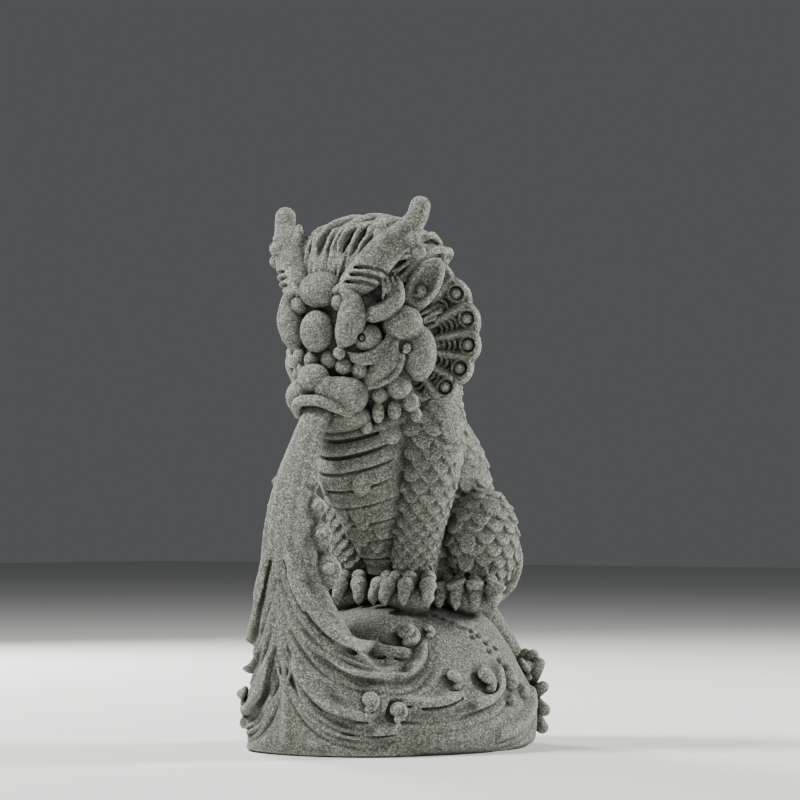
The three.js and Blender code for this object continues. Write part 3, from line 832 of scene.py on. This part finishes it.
# %%
TRIANGLES = 190000
clay[:] = np.maximum(clay, -grid_lines[2].astype(np.float32)[None, None, :])
grid = openvdb.FloatGrid()
grid.background = FAR
grid.copyFromArray(clay, ijk=(0, 0, 0), tolerance=0.0)
points, triangles, quads = grid.convertToPolygons(isovalue=0.0, adaptivity=0.0)
whole = bpy.data.meshes.new("whole surface")
corners = np.concatenate([quads.ravel(), triangles.ravel()]).astype(np.int32)
sizes = np.concatenate([np.full(len(quads), 4), np.full(len(triangles), 3)]).astype(np.int32)
whole.vertices.add(len(points))
whole.vertices.foreach_set("co", ((points * VOXEL + LOW) / 1000).astype(np.float32).ravel())
whole.loops.add(len(corners))
whole.loops.foreach_set("vertex_index", corners)
whole.polygons.add(len(sizes))
whole.polygons.foreach_set("loop_start", np.concatenate([[0], np.cumsum(sizes)[:-1]]).astype(np.int32))
whole.update(calc_edges=True)
whole.validate()
beast = bpy.data.objects.new("stone_beast", whole)
bpy.context.scene.collection.objects.link(beast)
print("the clay gave", len(quads), "quads and", len(triangles), "triangles")

# %%
thin = beast.modifiers.new("thin out", "DECIMATE")
thin.ratio = TRIANGLES / (2 * len(quads) + len(triangles))
thin.use_collapse_triangulate = True
thinned = bpy.data.meshes.new_from_object(beast.evaluated_get(bpy.context.evaluated_depsgraph_get()))
beast.modifiers.clear()
beast.data = thinned
thinned.name = "stone beast on a wave"
thinned.shade_smooth()
print("the piece has", len(thinned.polygons), "triangles")

# %% [markdown]
# ## How deep a place lies
#
# Dust and dark binder gather in the hollows of a cast stone, and its edges rub pale. The clay tells
# The stone's colour is darkened in the hollows, as painted shade, and paled on the edges, as painted highlight. The
# clay tells
# where: on a flat place, the distances a little way off in all directions cancel out, in a hollow
# more of them are inside the clay, and on an edge more of them are outside.

# %%
def hollowness(places, reach):
    """From -1 in a deep hollow to 1 on a sharp edge, judged at a reach in mm."""
    golden = math.pi * (3 - math.sqrt(5))
    looks = 20
    total = 0
    for k in range(looks):
        height = 1 - 2 * (k + 0.5) / looks
        flat = math.sqrt(1 - height**2)
        look = np.array([flat * math.cos(golden * k), flat * math.sin(golden * k), height])
        total = total + np.clip(probe(places + reach * look), -reach, reach)
    return total / (looks * reach)


places = np.empty(3 * len(thinned.vertices), dtype=np.float32)
thinned.vertices.foreach_get("co", places)
places = places.reshape(-1, 3) * 1000
thinned.normals_split_custom_set_from_vertices(normals_at(places, 0.9 * VOXEL))
for name, reach in (("fine hollows", 0.8), ("wide hollows", 2.6)):
    depth = hollowness(places, reach)
    thinned.attributes.new(name, "FLOAT", "POINT").data.foreach_set("value", depth.astype(np.float32))
    print(name, np.round(np.percentile(depth, [2, 25, 50, 75, 98]), 2))

# %% [markdown]
# ## Sandstone
#
# The figure is cast from crushed sandstone in a resin binder. Up close it's a mix of pale quartz
# grains and darker grains, about 0.3 mm across, in a grey green binder. It has no gloss at all.

# %%
GRAIN = 0.00034
# Stone tones that run from painted highlight on edges (PALE) to painted shade in deep hollows (DEEP).
PALE, MIDDLE, DARK, DEEP = "A9ABA0", "84877C", "585C52", "2E312B"


def colour(code):
    """An sRGB hex colour as linear red, green, blue and alpha."""
    values = [int(code[k : k + 2], 16) / 255 for k in (0, 2, 4)]
    return (*[v / 12.92 if v <= 0.04045 else ((v + 0.055) / 1.055) ** 2.4 for v in values], 1.0)


def node(tree, kind, links=(), **settings):
    """Adds a shader node. Settings that name an input set its value, the others set the node itself."""
    made = tree.nodes.new(kind)
    for key, value in settings.items():
        target = made.inputs.get(key.replace("_", " ")) or made.inputs.get(key)
        if target is not None and not hasattr(made, key):
            target.default_value = value
        else:
            setattr(made, key, value)
    for name, source in dict(links).items():
        tree.links.new(source, made.inputs[name])
    return made


sandstone = bpy.data.materials.new("cast sandstone")
sandstone.use_nodes = True
tree = sandstone.node_tree
tree.nodes.clear()
where = node(tree, "ShaderNodeTexCoord")


def ramp(source, stops):
    """A colour ramp over a value, from its stops."""
    made = node(tree, "ShaderNodeValToRGB", {"Fac": source})
    made.color_ramp.elements[0].position, made.color_ramp.elements[0].color = stops[0][0], colour(stops[0][1])
    made.color_ramp.elements[1].position, made.color_ramp.elements[1].color = stops[-1][0], colour(stops[-1][1])
    for position, code in stops[1:-1]:
        made.color_ramp.elements.new(position).color = colour(code)
    return made


grains = node(tree, "ShaderNodeTexVoronoi", {"Vector": where.outputs["Object"]}, Scale=1 / GRAIN)
speck = ramp(grains.outputs["Color"], [(0.0, "202020"), (0.3, "606060"), (0.55, "8C8C8C"), (0.8, "BCBCBC"), (1.0, "FFFFFF")])
fine = node(tree, "ShaderNodeAttribute", attribute_name="fine hollows")
wide = node(tree, "ShaderNodeAttribute", attribute_name="wide hollows")
fine_share = node(tree, "ShaderNodeMapRange", {"Value": fine.outputs["Fac"]}, From_Min=-0.32, From_Max=0.22)
wide_share = node(tree, "ShaderNodeMapRange", {"Value": wide.outputs["Fac"]}, From_Min=-0.42, From_Max=0.26)
shade = node(tree, "ShaderNodeMath", {0: fine_share.outputs[0], 1: wide_share.outputs[0]}, operation="MULTIPLY")
# Painted shade and highlight: the hollow measures darken the stone towards DEEP in hollows and pale it towards PALE
# on edges.
painted_shade_and_highlight = ramp(shade.outputs[0], [(0.0, DEEP), (0.12, DARK), (0.34, MIDDLE), (1.0, PALE)])
mixed = node(tree, "ShaderNodeMix", data_type="RGBA", blend_type="OVERLAY")
mixed.inputs["Factor"].default_value = 0.8
tree.links.new(painted_shade_and_highlight.outputs["Color"], mixed.inputs[6])
tree.links.new(speck.outputs["Color"], mixed.inputs[7])
bump = node(tree, "ShaderNodeBump", {"Height": grains.outputs["Distance"]}, Strength=0.35, Distance=0.0002)
skin = node(tree, "ShaderNodeBsdfPrincipled", {"Base Color": mixed.outputs[2], "Normal": bump.outputs["Normal"]}, Roughness=0.95)
skin.inputs["Specular IOR Level"].default_value = 0.25
output = node(tree, "ShaderNodeOutputMaterial", {"Surface": skin.outputs["BSDF"]})
thinned.materials.clear()
thinned.materials.append(sandstone)

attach(beast, "root")
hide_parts("beast_figure")
print("grains of", GRAIN * 1000, "mm")

# %% [markdown]
# ## Floor, light and camera

# %%
floor_mesh = bpy.data.meshes.new("floor")
floor_mesh.from_pydata([(-3, -3, 0), (3, -3, 0), (3, 3, 0), (-3, 3, 0)], [], [(0, 1, 2, 3)])
floor = bpy.data.objects.new("floor", floor_mesh)
bpy.context.scene.collection.objects.link(floor)
paper = bpy.data.materials.new("pale paper")
paper.use_nodes = True
paper.node_tree.nodes["Principled BSDF"].inputs["Base Color"].default_value = colour("D8D8D4")
paper.node_tree.nodes["Principled BSDF"].inputs["Roughness"].default_value = 0.9
floor_mesh.materials.append(paper)

VIEW_TURN = math.radians(40)
VIEW_REACH, VIEW_HEIGHT, AIM_HEIGHT = 0.9, 0.062, 0.0955
FRAME_PIXELS = 800
LENS_PIXELS = 3260
MIDDLE_PIXEL = 397.5


def lamp(name, azimuth, height, reach, size, watts, code="FFFFFF"):
    """A soft square lamp that looks at the middle of the figure."""
    data = bpy.data.lights.new(name, "AREA")
    data.shape, data.size, data.energy, data.color = "SQUARE", size, watts, colour(code)[:3]
    made = bpy.data.objects.new(name, data)
    turn = math.radians(azimuth)
    made.location = (reach * math.sin(turn), -reach * math.cos(turn), height)
    made.rotation_euler = (Vector((0, 0, 0.08)) - made.location).to_track_quat("-Z", "Y").to_euler()
    bpy.context.scene.collection.objects.link(made)


lamp("key light", -35, 0.85, 0.6, 0.2, 16)
lamp("left rim light", -110, 0.3, 0.7, 0.2, 8)
lamp("right rim light", 145, 0.4, 0.7, 0.2, 10)
lamp("fill light", 60, 0.5, 1.2, 0.6, 3)

world = bpy.context.scene.world or bpy.data.worlds.new("studio")
bpy.context.scene.world = world
world.use_nodes = True
world.node_tree.nodes["Background"].inputs["Color"].default_value = colour("C8CCD0")
world.node_tree.nodes["Background"].inputs["Strength"].default_value = 0.15

camera = bpy.data.cameras.new("camera")
camera.sensor_width = 36
camera.lens = 36 * LENS_PIXELS / FRAME_PIXELS
camera.clip_start = 0.05
eye = bpy.data.objects.new("camera", camera)
eye.location = (VIEW_REACH * math.sin(VIEW_TURN), -VIEW_REACH * math.cos(VIEW_TURN), VIEW_HEIGHT)
eye.rotation_euler = (Vector((0, 0, AIM_HEIGHT)) - eye.location).to_track_quat("-Z", "Y").to_euler()
camera.shift_x = (FRAME_PIXELS / 2 - MIDDLE_PIXEL) / FRAME_PIXELS
bpy.context.scene.collection.objects.link(eye)
bpy.context.scene.camera = eye
print("the lens is", round(camera.lens, 1), "mm")
